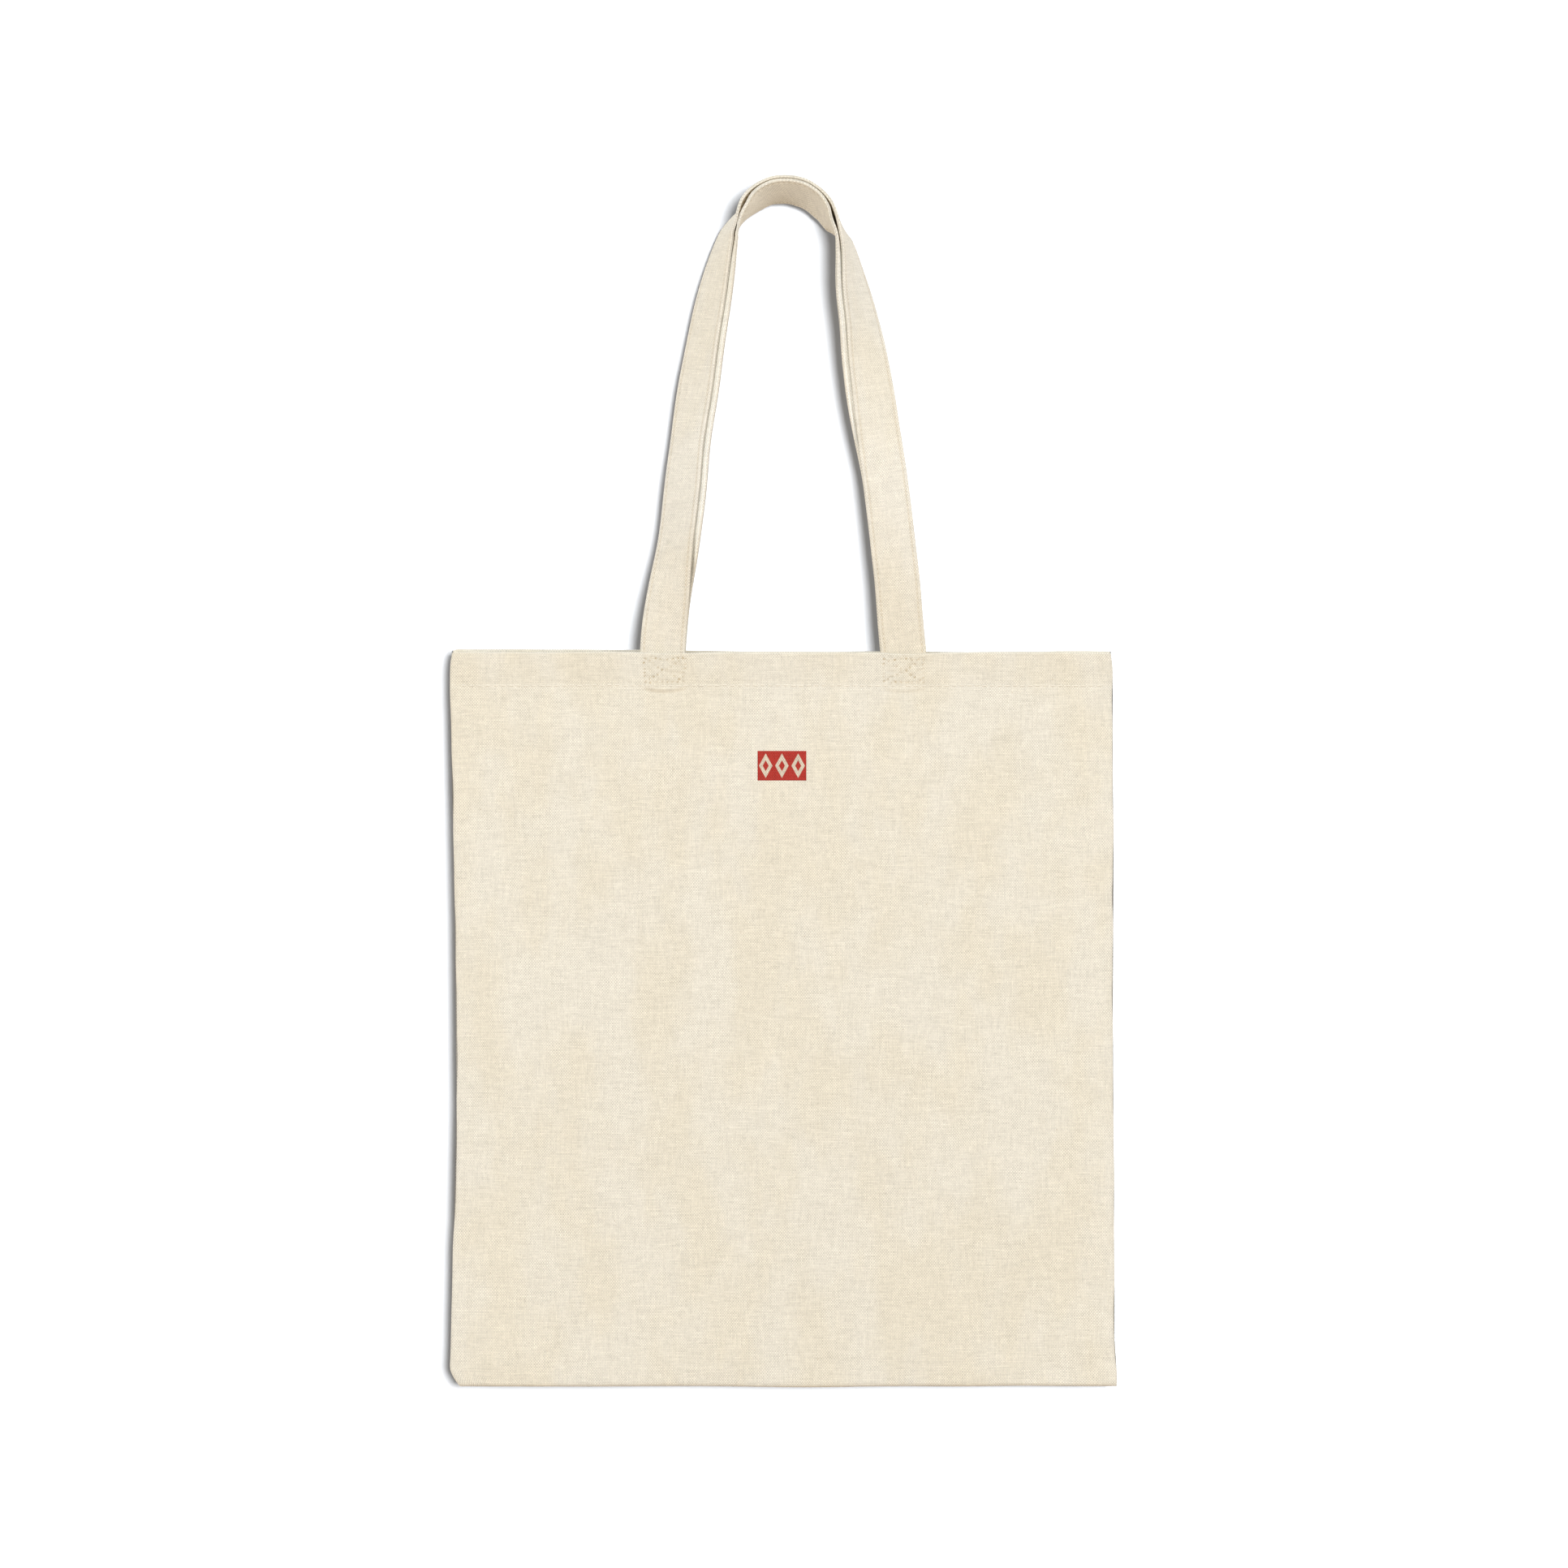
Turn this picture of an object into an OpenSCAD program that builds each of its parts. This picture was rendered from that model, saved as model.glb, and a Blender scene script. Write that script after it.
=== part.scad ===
// Canvas tote bag hanging by its two handle loops.
// The origin is the hanging point: the middle of the underside of the nested loops.
// +Z is up and the front panel faces -Y.

/* [Bag] */
// Width across the side seams
body_w = 381; // [320:1:440]
// Height from the top edge to the bottom seam
body_h = 422; // [360:1:480]
// Thickness of one layer of canvas
cloth_t = 0.8; // [0.6:0.1:1]
// How far each panel bows out at the middle of the mouth
bulge = 9; // [8:0.5:20]
// Distance of each panel's middle surface from the seam plane at the side seams
seam_gap = 1.9; // [1.9:0.1:3]

/* [Hem] */
// Depth of the turned hem
hem_d = 21.5; // [16:0.5:30]
// Thickness of the turned layers
hem_t = 1.2; // [1:0.1:1.4]

/* [Handles] */
// Width of a handle strap
strap_w = 26; // [20:1:32]
// Thickness of a handle strap
strap_t = 2.2; // [1.6:0.1:2.6]
// Distance from the bag's middle to the middle of each sewn end
strap_x = 69; // [60:1:80]
// Height of the hanging point over the bag's top edge
loop_rise = 263; // [240:1:300]
// Gap between the nested loops
nest_gap = 1.2; // [1:0.1:2]
// Length of strap sewn inside the hem
sewn_l = 19; // [14:0.5:21]

/* [Seams and thread] */
// Width of the seam allowances inside the bag
allowance_w = 10; // [8:0.5:14]
// Thickness of the seam allowances
allowance_t = 1.2; // [0.8:0.1:1.2]
// Radius of the sewing thread
thread_r = 0.2; // [0.15:0.01:0.22]
// Distance from one hem stitch to the next
stitch_pitch = 4; // [3:0.5:6]
// Length of one stitch on the surface
stitch_l = 3; // [2:0.1:3.4]

/* [Print] */
// Width of the printed patch
print_w = 28; // [20:1:60]
// Height of the printed patch
print_h = 17; // [10:1:40]
// Distance from the top edge to the middle of the printed patch
print_drop = 66; // [50:1:200]

/* [Hidden] */

FRONT = -1;
BACK = 1;
LEFT = -1;
RIGHT = 1;

canvas = [0.94, 0.9, 0.82];
canvas_inside = [0.9, 0.85, 0.76];
thread = [0.97, 0.95, 0.89];
ink = [0.7, 0.2, 0.16];

top_z = -loop_rise;
bottom_z = top_z - body_h;
half_w = body_w / 2;
layer_gap = 0.04;
thread_gap = 0.15;

// The mouth is flat across both handles and closes towards the side seams.
mouth_flat = strap_x + strap_w / 2 + 2;
panel_cols = 26;
panel_rows = 13;

// Distance of a panel's middle surface from the seam plane.
function clamp01(t) = min(1, max(0, t));
function across(x) = (1 + cos(180 * clamp01((abs(x) - mouth_flat) / (half_w - mouth_flat)))) / 2;
function upward(z) = pow(sin(90 * clamp01((z - bottom_z) / body_h)), 0.9);
function depth(x, z) = seam_gap + bulge * across(x) * upward(z);

// Slope of a panel across the bag, in degrees.
function slope(x, z) = atan2(depth(x + 0.5, z) - depth(x - 0.5, z), 1);

// Layers inside a panel, as distances inward from its middle surface.
hem_in = cloth_t / 2 + layer_gap + hem_t / 2;
strap_in = hem_in + hem_t / 2 + 2 * layer_gap + strap_t / 2;
strap_y = seam_gap + bulge - strap_in;

// A sheet that follows a panel: side FRONT or BACK, between two corners, at a
// distance inward from the panel's middle surface.
module sheet(side, low, high, inward, thick, cols, rows) {
    x = [for (i = [0:cols]) low[0] + (high[0] - low[0]) * i / cols];
    z = [for (j = [0:rows]) low[1] + (high[1] - low[1]) * j / rows];
    skins = [for (off = [thick / 2, -thick / 2], j = [0:rows], i = [0:cols])
        [x[i], side * (depth(x[i], z[j]) - inward + off), z[j]]];
    n = (cols + 1) * (rows + 1);
    function at(k, i, j) = k * n + j * (cols + 1) + i;
    faces = concat(
        [for (j = [0:rows - 1], i = [0:cols - 1])
            [at(0, i, j), at(0, i, j + 1), at(0, i + 1, j + 1), at(0, i + 1, j)]],
        [for (j = [0:rows - 1], i = [0:cols - 1])
            [at(1, i, j), at(1, i + 1, j), at(1, i + 1, j + 1), at(1, i, j + 1)]],
        [for (i = [0:cols - 1]) [at(0, i, 0), at(0, i + 1, 0), at(1, i + 1, 0), at(1, i, 0)]],
        [for (i = [0:cols - 1])
            [at(0, i + 1, rows), at(0, i, rows), at(1, i, rows), at(1, i + 1, rows)]],
        [for (j = [0:rows - 1]) [at(0, 0, j + 1), at(0, 0, j), at(1, 0, j), at(1, 0, j + 1)]],
        [for (j = [0:rows - 1])
            [at(0, cols, j), at(0, cols, j + 1), at(1, cols, j + 1), at(1, cols, j)]]);
    turned = side == FRONT
        ? [for (f = faces) [f[3], f[2], f[1], f[0]]]
        : faces;
    polyhedron(points = skins, faces = turned, convexity = 6);
}

module panel(side) {
    color(canvas)
        sheet(side, [-half_w, bottom_z], [half_w, top_z], 0, cloth_t, panel_cols, panel_rows);
}

module hem(side) {
    color(canvas_inside)
        sheet(side, [-half_w, top_z - hem_d], [half_w, top_z], hem_in, hem_t, panel_cols, 1);
}

// Half of a handle loop as a height over the top edge and a distance from the
// middle: a leg that leans in, then an arch.
hinge_h = 1.5;
apex_h = loop_rise + strap_t / 2 + strap_t + nest_gap;
shoulder = [36.5, apex_h - 40];
leg = [[strap_x, hinge_h], [strap_x, 40], [shoulder[0] + 12.5, shoulder[1] - 43], shoulder];
arch = [shoulder, [shoulder[0] - 6.5, shoulder[1] + 22], [19, apex_h], [0, apex_h]];
leg_steps = 36;
arch_steps = 14;

function bezier(p, t) = pow(1 - t, 3) * p[0] + 3 * pow(1 - t, 2) * t * p[1]
    + 3 * (1 - t) * t * t * p[2] + t * t * t * p[3];
function half_loop(v) = v <= 1 ? bezier(leg, v) : bezier(arch, v - 1);
function unit(v) = v / norm(v);

// The strap lies flat in the hem, starts to turn at once, and stands on its
// edge over the arch.
turn_start = 0.3;
turn_start_h = 22;
turn_end_h = apex_h - 20;
function turn(h) = 90 * (turn_start * (1 - exp(-pow(h / turn_start_h, 2)))
    + (1 - turn_start) * pow(clamp01(h / turn_end_h), 4));

// Distance of a strap from the seam plane: the two loops draw together above the hem.
function strap_off(h) = strap_y * pow(1 - clamp01(h / turn_end_h), 2);

// One station of a strap: [centre, outward normal, width direction].
function station(side, hand, v) =
    let(p = half_loop(v))
    let(d = unit(half_loop(min(2, v + 0.01)) - half_loop(max(0, v - 0.01))))
    let(out = [hand * d[1], 0, -d[0]])
    let(nest = side == BACK ? (strap_t + nest_gap) * (1 - exp(-p[1] / 12)) : 0)
    let(centre = [hand * p[0], side * strap_off(p[1]), top_z + p[1]] - nest * out)
    let(lean = side * (strap_off(p[1] + 0.5) - strap_off(p[1] - 0.5)))
    let(along = unit([hand * d[0], lean * d[1], d[1]]))
    let(raw = [0, -cos(turn(p[1])), 0] + sin(turn(p[1])) * out)
    let(normal = unit(raw - (raw * along) * along))
    [centre, normal, cross(along, normal) * hand];

// All stations of a loop, from the left sewn end over the arch to the right one.
function loop_values() = concat(
    [for (i = [0:leg_steps - 1]) [LEFT, i / leg_steps]],
    [for (i = [0:arch_steps]) [LEFT, 1 + i / arch_steps]],
    [for (i = [arch_steps - 1:-1:0]) [RIGHT, 1 + i / arch_steps]],
    [for (i = [leg_steps - 1:-1:0]) [RIGHT, i / leg_steps]]);
function loop_stations(side) = [for (s = loop_values()) station(side, s[0], s[1])];

// A flat strip swept through stations, shifted along its width and its normal.
module ribbon(stations, width, thick, shift_w = 0, shift_n = 0) {
    points = [for (s = stations, c = [[-1, -1], [1, -1], [1, 1], [-1, 1]])
        s[0] + s[2] * (shift_w + c[0] * width / 2) + s[1] * (shift_n + c[1] * thick / 2)];
    last = len(stations) - 1;
    faces = concat(
        [[0, 1, 2, 3]],
        [for (k = [0:last - 1], c = [0:3])
            [4 * k + c, 4 * k + 4 + c, 4 * k + 4 + (c + 1) % 4, 4 * k + (c + 1) % 4]],
        [[4 * last + 3, 4 * last + 2, 4 * last + 1, 4 * last]]);
    polyhedron(points = points, faces = faces, convexity = 10);
}

module handle(side) {
    color(canvas) ribbon(loop_stations(side), strap_w, strap_t);
}

// Two rows of thread along the strap's edges.
edge_inset = 2.4;
module handle_stitching(side) {
    color(thread)
        for (row = [-1, 1])
            ribbon(loop_stations(side), 2 * thread_r, 2 * thread_r,
                row * (strap_w / 2 - edge_inset), strap_t / 2 + 2 * thread_gap + thread_r);
}

// The sewn end of a strap, flat inside the hem.
module strap_end(side, hand) {
    color(canvas)
        translate([hand * strap_x, side * strap_y, top_z - sewn_l / 2])
            cube([strap_w, strap_t, sewn_l], center = true);
}

// One stitch on a panel, lying along an angle from +X in the panel's plane.
module stitch(at, angle, turn_z, length) {
    translate(at) rotate([0, 0, turn_z]) rotate([0, -angle, 0]) rotate([0, 90, 0])
        cylinder(h = length, r = thread_r, center = true, $fn = 16);
}

thread_off = cloth_t / 2 + thread_gap + thread_r;
hem_back_off = hem_in + hem_t / 2 + thread_gap + thread_r;
hem_row_h = hem_d - 1.9;
hem_row_half = half_w - 6;
inner_row_half = half_w - 19;

// The row of stitches that holds the hem, on both faces of the cloth. Inside
// the bag it passes under the strap ends and stops short of the side seams.
module hem_stitching(side) {
    z = top_z - hem_row_h;
    color(thread)
        for (x = [-hem_row_half:stitch_pitch:hem_row_half], off = [thread_off, -hem_back_off])
            if (off > 0 || abs(x) < inner_row_half)
                stitch([x, side * (depth(x, z) + off), z], 0, side * slope(x, z), stitch_l);
}

// A rectangle with a cross in it, sewn through the strap end.
box_w = 22;
box_h = 13.5;
box_drop = 10;
box_long = [[-box_w / 2, box_w / 2, box_h / 2], [-box_w / 2, box_w / 2, -box_h / 2]];
module box_stitching(side, hand) {
    inside = strap_in + strap_t / 2 + thread_gap + thread_r;
    middle = [hand * strap_x, 0, top_z - box_drop];
    diagonal = norm([box_w, box_h]);
    tilt = atan2(box_h, box_w);
    color(thread)
        for (off = [thread_off, -inside]) {
            y = side * (seam_gap + bulge + off);
            for (up = [-1, 1], k = [0:4])
                stitch(middle + [(k - 2) * 4.2, y, up * box_h / 2], 0, 0, stitch_l);
            for (end = [-1, 1], k = [0:2])
                stitch(middle + [end * box_w / 2, y, (k - 1) * 4.2], 90, 0, stitch_l);
            for (way = [-1, 1], k = [-2, -1, 1, 2])
                stitch(middle + [k * 4 * cos(tilt), y, way * k * 4 * sin(tilt)],
                    way * tilt, 0, stitch_l);
        }
}

// Seam allowances: the two layers that are turned inside the bag.
seam_clear = 1;
module side_allowance(hand) {
    low = bottom_z + seam_clear;
    high = top_z - hem_d - seam_clear;
    color(canvas_inside)
        translate([hand * (half_w - seam_clear - allowance_w / 2), 0, (low + high) / 2])
            cube([allowance_w, allowance_t, high - low], center = true);
}

module bottom_allowance() {
    width = body_w - 2 * (allowance_w + 2 * seam_clear);
    color(canvas_inside)
        translate([0, 0, bottom_z + seam_clear + allowance_w / 2])
            cube([width, allowance_t, allowance_w], center = true);
}

// Overlock thread wrapped over the raw edge of an allowance: stitches across
// both faces, and a bead along the edge.
overlock_pitch = 6;
overlock_w = 4;
module overlock(length) {
    count = floor(length / overlock_pitch);
    for (k = [0:count - 1], face = [-1, 1])
        translate([(k + 0.5) * length / count - length / 2,
                face * (allowance_t / 2 + layer_gap + thread_r), -overlock_w / 2])
            cylinder(h = overlock_w, r = thread_r, center = true, $fn = 16);
    translate([0, 0, layer_gap + thread_r])
        rotate([0, 90, 0]) cylinder(h = length, r = thread_r, center = true, $fn = 16);
}

module side_overlock(hand) {
    low = bottom_z + allowance_w + 3 * seam_clear;
    high = top_z - hem_d - 2 * seam_clear;
    color(thread)
        translate([hand * (half_w - seam_clear - allowance_w), 0, (low + high) / 2])
            rotate([0, -hand * 90, 0]) overlock(high - low);
}

module bottom_overlock() {
    color(thread)
        translate([0, 0, bottom_z + seam_clear + allowance_w])
            overlock(body_w - 2 * (allowance_w + 4 * seam_clear));
}

// The printed patch, a thin layer of ink on the front.
ink_t = 0.1;
module print_patch() {
    middle = top_z - print_drop;
    color(ink)
        sheet(FRONT, [-print_w / 2, middle - print_h / 2], [print_w / 2, middle + print_h / 2],
            -(cloth_t / 2 + layer_gap + ink_t / 2), ink_t, 2, 2);
}

panel(FRONT);  // front_panel
panel(BACK);  // back_panel
hem(FRONT);  // front_hem
hem(BACK);  // back_hem
handle(FRONT);  // front_handle
handle(BACK);  // back_handle
strap_end(FRONT, LEFT);  // front_left_strap_end
strap_end(FRONT, RIGHT);  // front_right_strap_end
strap_end(BACK, LEFT);  // back_left_strap_end
strap_end(BACK, RIGHT);  // back_right_strap_end
hem_stitching(FRONT);  // front_hem_stitching
hem_stitching(BACK);  // back_hem_stitching
box_stitching(FRONT, LEFT);  // front_left_box_stitching
box_stitching(FRONT, RIGHT);  // front_right_box_stitching
box_stitching(BACK, LEFT);  // back_left_box_stitching
box_stitching(BACK, RIGHT);  // back_right_box_stitching
handle_stitching(FRONT);  // front_handle_stitching
handle_stitching(BACK);  // back_handle_stitching
side_allowance(LEFT);  // left_seam_allowance
side_allowance(RIGHT);  // right_seam_allowance
bottom_allowance();  // bottom_seam_allowance
side_overlock(LEFT);  // left_overlock_thread
side_overlock(RIGHT);  // right_overlock_thread
bottom_overlock();  // bottom_overlock_thread
print_patch();  // front_print
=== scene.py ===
"""Looks of a canvas tote bag that hangs by its two handle loops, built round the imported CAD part.

Shapes are worked out in millimetres in the part's own frame, and turned to metres when a mesh is made.
"""
import math

import bmesh
import bpy
import numpy as np
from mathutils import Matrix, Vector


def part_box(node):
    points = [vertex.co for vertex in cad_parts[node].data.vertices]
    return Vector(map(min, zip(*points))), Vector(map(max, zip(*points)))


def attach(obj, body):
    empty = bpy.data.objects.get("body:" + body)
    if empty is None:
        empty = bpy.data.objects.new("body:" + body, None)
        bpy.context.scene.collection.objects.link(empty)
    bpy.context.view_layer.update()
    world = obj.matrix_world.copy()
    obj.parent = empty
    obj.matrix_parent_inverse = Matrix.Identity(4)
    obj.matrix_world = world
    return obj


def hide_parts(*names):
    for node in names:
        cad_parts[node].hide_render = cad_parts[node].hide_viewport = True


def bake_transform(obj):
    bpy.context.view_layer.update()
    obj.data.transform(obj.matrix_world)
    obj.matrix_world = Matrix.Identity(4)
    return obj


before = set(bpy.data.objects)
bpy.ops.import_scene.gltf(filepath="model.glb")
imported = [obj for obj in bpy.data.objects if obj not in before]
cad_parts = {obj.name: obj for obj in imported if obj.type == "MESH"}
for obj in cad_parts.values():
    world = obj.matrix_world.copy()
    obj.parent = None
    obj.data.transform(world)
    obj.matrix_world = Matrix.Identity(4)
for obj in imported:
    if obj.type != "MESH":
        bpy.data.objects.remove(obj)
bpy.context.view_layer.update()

MM = 0.001
FRONT, BACK = -1, 1
LEFT, RIGHT = -1, 1

# ---------------------------------------------------------------- sizes, from the frame

panel_low, panel_high = (np.array(c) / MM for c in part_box("front_panel"))
end_low, end_high = (np.array(c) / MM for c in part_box("front_right_strap_end"))
hem_low = np.array(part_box("front_hem")[0]) / MM
print_low, print_high = (np.array(c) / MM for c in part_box("front_print"))

HALF_W = panel_high[0]
TOP = panel_high[2]
BOTTOM = panel_low[2]
BODY_H = TOP - BOTTOM
CLOTH_T = 0.8
HEM_T = 2.0
HEM_D = TOP - hem_low[2]
STITCH_D = HEM_D - 1.9
SEAM_GAP = 1.9  # from the seam plane to a panel, where the two meet
BULGE = -panel_low[1] - SEAM_GAP - CLOTH_T / 2

STRAP_W = end_high[0] - end_low[0]
STRAP_X = (end_low[0] + end_high[0]) / 2
STRAP_Y = -(end_low[1] + end_high[1]) / 2
CAD_STRAP_T = end_high[1] - end_low[1]
STRAP_T = 2.0
SEWN_L = end_high[2] - end_low[2]
NEST_GAP = 1.2
LOOP_RISE = -TOP

HEM_PITCH, HEM_STITCH, HEM_THREAD_R = 4.4, 3.1, 0.3
HEM_END = 5  # from the bag's side to the last hem stitch
BOX_PITCH, BOX_THREAD_R = 3.1, 0.18
STRAP_PITCH, STRAP_STITCH, STRAP_THREAD_R = 2.7, 1.9, 0.17
STRAP_ROW = STRAP_W / 2 - 2.3  # from the strap's middle to each stitch row
OVERLOCK_PITCH, OVERLOCK_R = 3.0, 0.16


# ---------------------------------------------------------------- small maths

def clamp01(t):
    return np.clip(t, 0, 1)


def smooth(t, low, high):
    """0 at low and 1 at high, easing between them. Low may be the larger of the two."""
    t = clamp01((t - low) / (high - low))
    return t * t * (3 - 2 * t)


def bell(t, width):
    """1 at zero, falling away on both sides."""
    return np.exp(-((t / width) ** 2))


def waves(a, b, seed, count, shortest, longest, stretch=1.0):
    """A smooth random height, mostly within -1 to 1, with waves that are longer along b by stretch."""
    rng = np.random.default_rng(seed)
    total = np.zeros(np.broadcast(a, b).shape)
    for _ in range(count):
        length = rng.uniform(shortest, longest)
        angle = rng.uniform(0, math.pi)
        phase = rng.uniform(0, 2 * math.pi)
        run = a * math.cos(angle) + b * math.sin(angle) / stretch
        total = total + np.sin(2 * math.pi * run / length + phase)
    return total / math.sqrt(count)


def unit(v):
    return v / np.linalg.norm(v, axis=-1, keepdims=True)


# ---------------------------------------------------------------- shape of the bag's cloth

MOUTH_FLAT = STRAP_X + STRAP_W / 2 + 2  # the panels stand apart evenly as far out as this
EDGE_R = 2.4  # how far in from the outline the panel starts to roll over
BOX_W, BOX_H = 22.5, 14.0
BOX_D = 10.4  # from the mouth's edge down to the middle of the sewn box
BOX_X = {LEFT: -67.5, RIGHT: 70.0}


def depth(x, z):
    """Distance of a panel's middle surface from the seam plane."""
    share = clamp01((np.abs(x) - MOUTH_FLAT) / (HALF_W - MOUTH_FLAT))
    across = (1 + np.cos(math.pi * share)) / 2
    upward = np.sin(math.pi / 2 * clamp01((z - BOTTOM) / BODY_H)) ** 0.9
    return SEAM_GAP + BULGE * across * upward


def box_stitches(hand):
    """Ends of the stitches in the rectangle with a cross, as x and distance below the edge."""
    low_x, high_x = BOX_X[hand] - BOX_W / 2, BOX_X[hand] + BOX_W / 2
    low_d, high_d = BOX_D - BOX_H / 2, BOX_D + BOX_H / 2
    corners = [(low_x, low_d), (high_x, low_d), (high_x, high_d), (low_x, high_d)]
    lines = [(corners[k], corners[(k + 1) % 4]) for k in range(4)]
    lines += [(corners[0], corners[2]), (corners[1], corners[3])]
    rng = np.random.default_rng(40 + hand)
    stitches = []
    for a, b in lines:
        a, b = np.array(a), np.array(b)
        count = round(np.linalg.norm(b - a) / BOX_PITCH)
        for k in range(count):
            shift = rng.normal(0, 0.4, 2)
            start = a + (b - a) * (k + 0.1) / count + shift
            stop = a + (b - a) * (k + 0.9) / count + shift
            stitches.append((start, stop))
    return stitches


def box_relief(x, d):
    """Height that the sewn boxes give to a panel's outer face, and painted shade in their needle holes and
    under the ridge below each strap's end.
    """
    height = np.zeros(x.shape)
    painted_shading = np.zeros(x.shape)
    for hand in (LEFT, RIGHT):
        near = (np.abs(x - BOX_X[hand]) < 24) & (d < 34)
        px, pd = x[near] - BOX_X[hand], d[near]
        over_strap = smooth(13.5 - np.abs(px), 0, 2.5) * smooth(20 - pd, 0, 2.5)
        h = 0.3 * over_strap
        h += 0.2 * over_strap * waves(px, pd, 50 + hand, 14, 2.6, 6)
        strength = 1.0 if hand == LEFT else 0.5
        below_end = pd - (21.4 - 2.4 * (px / 14) ** 2)
        reach = smooth(14.5 - np.abs(px), 0, 6)
        h += strength * reach * (0.42 * bell(below_end, 1.3) - 0.3 * bell(below_end - 2.6, 1.3))
        # Painted shadow under the ridge that the strap's end pushes up.
        m = 0.16 * strength * reach * bell(below_end - 1.9, 1.1)
        rng = np.random.default_rng(45 + hand)
        for start, stop in box_stitches(hand):
            for hole in (start, stop):
                away = np.hypot(px + BOX_X[hand] - hole[0], pd - hole[1])
                # Painted shade in each needle hole, some darker than others.
                bold = rng.uniform(0.1, 1) ** 1.5
                h -= 0.3 * bell(away, 0.5)
                m += 0.85 * bold * bell(away, 0.45)
            middle = (start + stop) / 2
            away = np.hypot(px + BOX_X[hand] - middle[0], pd - middle[1])
            h -= 0.12 * bell(away, 1.0)
        height[near] += h
        painted_shading[near] = np.minimum(1, m)
    return height, painted_shading


def relief(side, x, d):
    """Height of a panel's outer face over its smooth shape, d below the top edge, and the painted shade on
    it.
    """
    seed = 10 * (2 + side)
    calm = smooth(HALF_W - np.abs(x), 0, 14) * smooth(BODY_H - d, 0, 14)
    height = 0.42 * waves(x, d, seed, 7, 55, 130, 3.2)  # long soft folds
    height += 0.13 * waves(x, d, seed + 1, 12, 24, 50, 1.5)
    height *= calm * (0.35 + 0.65 * smooth(d, 6, 60))
    height += 0.018 * waves(x, d, seed + 2, 22, 5, 12)  # fine ripples
    pucker = bell(d - STITCH_D, 4.5)
    height += 0.05 * pucker * waves(x, d, seed + 3, 9, 5, 11, 6)
    height -= 0.16 * bell(d - STITCH_D, 1.5)
    height += 0.10 * smooth(STITCH_D - d, 0, 4)  # the hem's extra layers
    # Painted shade over the hem band, above its stitch row.
    painted_shading = 0.06 * smooth(STITCH_D - d, 0, 3)
    sewn, painted_box_shade = box_relief(x, d)
    return height + sewn, np.minimum(1, painted_shading + painted_box_shade)


def edge_lift(side, x):
    """How far the mouth's edge stands over the panel's nominal top."""
    ends = smooth(HALF_W - np.abs(x), -2, 4)
    wander = 0.18 * waves(x, 0 * x, 70 + side, 6, 30, 120)
    if side == BACK:
        return ends * (1.5 - 0.9 * smooth(x, -80, -30) - 0.3 * smooth(x, 60, 110) + wander)
    dip = 1.2 * bell(x - BOX_X[LEFT] - 2, 17) + 1.1 * bell(x - BOX_X[RIGHT] - 2, 17)
    return ends * (-0.2 - 0.4 * smooth(x, -62, -45) - dip + wander)


def left_edge(d):
    """How far the left edge lies right of its straight line: a long wave and a rounded bottom corner."""
    share, up = clamp01(d / BODY_H), BODY_H - d
    shift = -1.3 * np.cos(2 * math.pi * share ** 1.25) + 0.3 * waves(d, 0 * d, 80, 5, 25, 90)
    shift += 6.0 * clamp01(1 - up / 11) ** 1.5 + 1.5 * smooth(d, 20, 90) * smooth(up, 10, 110)
    return shift + 1.2 * bell(d, 5)


def right_edge(d):
    """How far the right edge lies right of its straight line: it spreads toward a squarer bottom corner."""
    share, up = clamp01(d / BODY_H), BODY_H - d
    shift = 0.5 * np.sin(2 * math.pi * (share * 1.4 + 0.1)) + 0.3 * waves(d, 0 * d, 81, 5, 25, 90)
    shift += 0.9 * smooth(d, 50, 110) + 1.1 * smooth(up, 40, 10) + 0.8 * smooth(up, 17, 7)
    return shift - 0.8 * bell(d, 6)


def outline_shift(x, d):
    """How far the bag's outline moves the cloth to the right, and how far the bottom edge drops it."""
    reach = smooth(np.abs(x), HALF_W - 34, HALF_W)
    drop = 0.35 * waves(x, 0 * x, 82, 6, 40, 130) * smooth(d, BODY_H - 40, BODY_H)
    drop = drop + (2.6 - 1.1 * bell(x - 135, 32)) * smooth(BODY_H - d, 130, 0)
    return np.where(x < 0, left_edge(d), right_edge(d)) * reach, drop


def rolled(e, radius):
    """Share of the full height at a distance e in from a rolled edge."""
    return np.sqrt(1 - (1 - clamp01(e / radius)) ** 2)


def cloth_point(side, x, d, inward):
    """A point of the cloth: x across, d below the mouth's edge, inward from the outer face."""
    height, painted_shading = relief(side, x, d)
    z = TOP - d
    outer = depth(x, z) + CLOTH_T / 2 + height * smooth(2.2 - inward, 0, 2)
    edge_x = HALF_W - np.abs(x)
    edge_z = BODY_H - d
    skin = 0.12 + (outer - 0.12) * rolled(edge_x, EDGE_R) * rolled(edge_z, EDGE_R)
    lining = 0.04 + np.maximum(outer - inward - 0.04, 0.1) \
        * rolled(edge_x - 0.5, EDGE_R) * rolled(edge_z - 0.5, EDGE_R)
    y = np.where(inward > 0, np.minimum(lining, skin - 0.02 * (edge_x > 0)), skin)
    shift, drop = outline_shift(x, d)
    lift = edge_lift(side, x) * smooth(30 - d, 0, 30)
    return np.stack([x + shift, side * y, z + lift - drop], -1), painted_shading


def spread(*stretches):
    """Distances along a line: each stretch is (start, stop, about how far apart)."""
    runs = [np.linspace(a, b, max(1, round(abs(b - a) / step)), endpoint=False) for a, b, step in stretches]
    return np.concatenate(runs)


ROLL_STEPS = np.array([5.0, 3.6, 2.6, 1.9, 1.3, 0.8, 0.45, 0.2, 0.05, 0.0])


def half_columns():
    """Where the mesh's columns stand from the bag's middle to its side, close together at the sewn box."""
    inner = spread((0, 50, 1.6), (50, 88, 0.5), (88, HALF_W - 5, 1.6))
    return np.concatenate([inner, HALF_W - ROLL_STEPS])


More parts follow.
